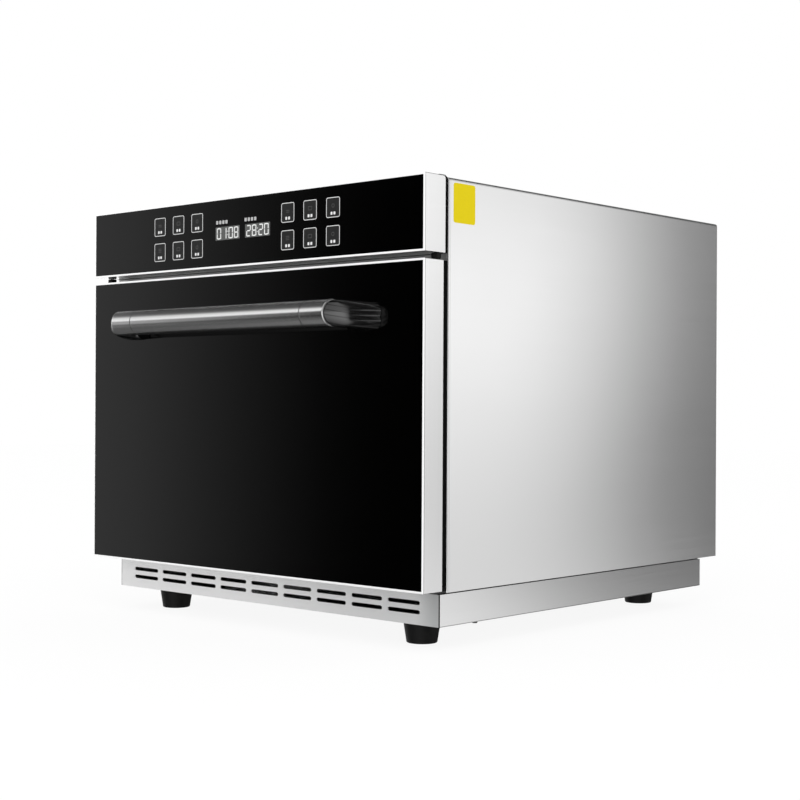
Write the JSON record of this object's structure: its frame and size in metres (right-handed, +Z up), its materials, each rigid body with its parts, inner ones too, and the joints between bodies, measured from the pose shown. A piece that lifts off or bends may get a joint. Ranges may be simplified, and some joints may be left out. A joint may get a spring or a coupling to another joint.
{
  "type": "speed oven",
  "caption": "Box-shaped countertop speed oven: drop-down black glass door with a tube handle, a glass touch panel above it, a slotted base and rubber feet",
  "frame": {"origin": "on the worktop, under the middle of the whole oven's width and depth, handle and cord gland included", "axes": "+Z up, -Y out of the door towards the user, +X to the user's right"},
  "size_m": [0.601, 0.6942, 0.5387],
  "materials": {
    "brushed_steel": "brushed stainless sheet",
    "polished_trim": "polished stainless sheet",
    "satin_handle": "satin stainless tube",
    "grey_steel": "zinc-coated steel",
    "cavity_steel": "plain stainless sheet",
    "black_glass": "opaque black glass, glossy",
    "black_plastic": "black moulded plastic",
    "black_rubber": "black rubber",
    "silicone": "grey silicone rubber",
    "ceramic": "off-white matt cordierite ceramic",
    "lens_glass": "clear heat-resistant glass",
    "circuit_board": "green circuit board",
    "heater_sheath": "dark heat-resistant steel sheath",
    "aluminium": "bare aluminium",
    "display_cell": "grey display cell"
  },
  "bodies": {
    "chassis": {"base_tray": "brushed_steel", "outer_wrap": "brushed_steel", "control_housing": "polished_trim", "chassis_floor": "grey_steel", "front_frame": "grey_steel", "rear_panel": "grey_steel", "convection_motor": "grey_steel", "stirrer_motor": "grey_steel", "mains_filter": "grey_steel", "transformer_left": "grey_steel", "transformer_right": "grey_steel", "hinge_bracket_left": "grey_steel", "hinge_bracket_right": "grey_steel", "hinge_pin_left": "grey_steel", "hinge_pin_right": "grey_steel", "oven_cavity": "cavity_steel", "air_baffle": "cavity_steel", "control_glass": "black_glass", "cord_gland": "black_plastic", "cooling_fan_frame": "black_plastic", "panel_backing": "black_plastic", "interlock_switch_left": "black_plastic", "interlock_switch_right": "black_plastic", "foot_front_left": "black_rubber", "foot_front_right": "black_rubber", "foot_rear_left": "black_rubber", "foot_rear_right": "black_rubber", "door_buffer_left": "black_rubber", "door_buffer_right": "black_rubber", "ceramic_plate": "ceramic", "stirrer_cover": "ceramic", "lamp_holder": "ceramic", "lamp_lens": "lens_glass", "control_board": "circuit_board", "heater_coil": "heater_sheath", "waveguide_left": "aluminium", "waveguide_right": "aluminium", "magnetron_left": "aluminium", "magnetron_right": "aluminium", "capacitor_left": "aluminium", "capacitor_right": "aluminium", "display_left": "display_cell", "display_right": "display_cell"},
    "door": {"door_frame": "polished_trim", "door_glass": "black_glass", "door_liner": "black_plastic", "door_inner_panel": "cavity_steel", "door_seal": "silicone", "handle_bar": "satin_handle", "handle_sleeve_left": "satin_handle", "handle_sleeve_right": "satin_handle", "handle_elbow_left": "black_plastic", "handle_elbow_right": "black_plastic", "hinge_clevis_left": "grey_steel", "hinge_clevis_right": "grey_steel"},
    "stirrer": {"mode_stirrer": "aluminium"},
    "convection_wheel": {"convection_fan": "cavity_steel"},
    "cooling_wheel": {"cooling_fan_wheel": "black_plastic"},
    "plunger_left": {"interlock_plunger_left": "silicone"},
    "plunger_right": {"interlock_plunger_right": "silicone"}
  },
  "joints": [
    {"name": "door_hinge", "type": "hinge", "parent": "chassis", "child": "door", "pos_m": [0, -0.27435, 0.0794], "axis": [1, 0, 0], "range_deg": [0, 88]},
    {"name": "stirrer_spin", "type": "hinge", "parent": "chassis", "child": "stirrer", "pos_m": [0, -0.07185, 0.337], "axis": [0, 0, 1], "continuous": true},
    {"name": "convection_fan_spin", "type": "hinge", "parent": "chassis", "child": "convection_wheel", "pos_m": [0, 0.17765, 0.2275], "axis": [0, 1, 0], "continuous": true},
    {"name": "cooling_fan_spin", "type": "hinge", "parent": "chassis", "child": "cooling_wheel", "pos_m": [-0.15, 0.32135, 0.4516], "axis": [0, 1, 0], "continuous": true},
    {"name": "plunger_left_slide", "type": "slide", "parent": "chassis", "child": "plunger_left", "axis": [0, -1, 0], "range_m": [0, 0.0026]},
    {"name": "plunger_right_slide", "type": "slide", "parent": "chassis", "child": "plunger_right", "axis": [0, -1, 0], "range_m": [0, 0.0026]}
  ],
  "couplings": [
    {"joint": "plunger_left_slide", "follows": "door_hinge", "m_per_rad": 0.0016},
    {"joint": "plunger_right_slide", "follows": "door_hinge", "m_per_rad": 0.0016}
  ]
}
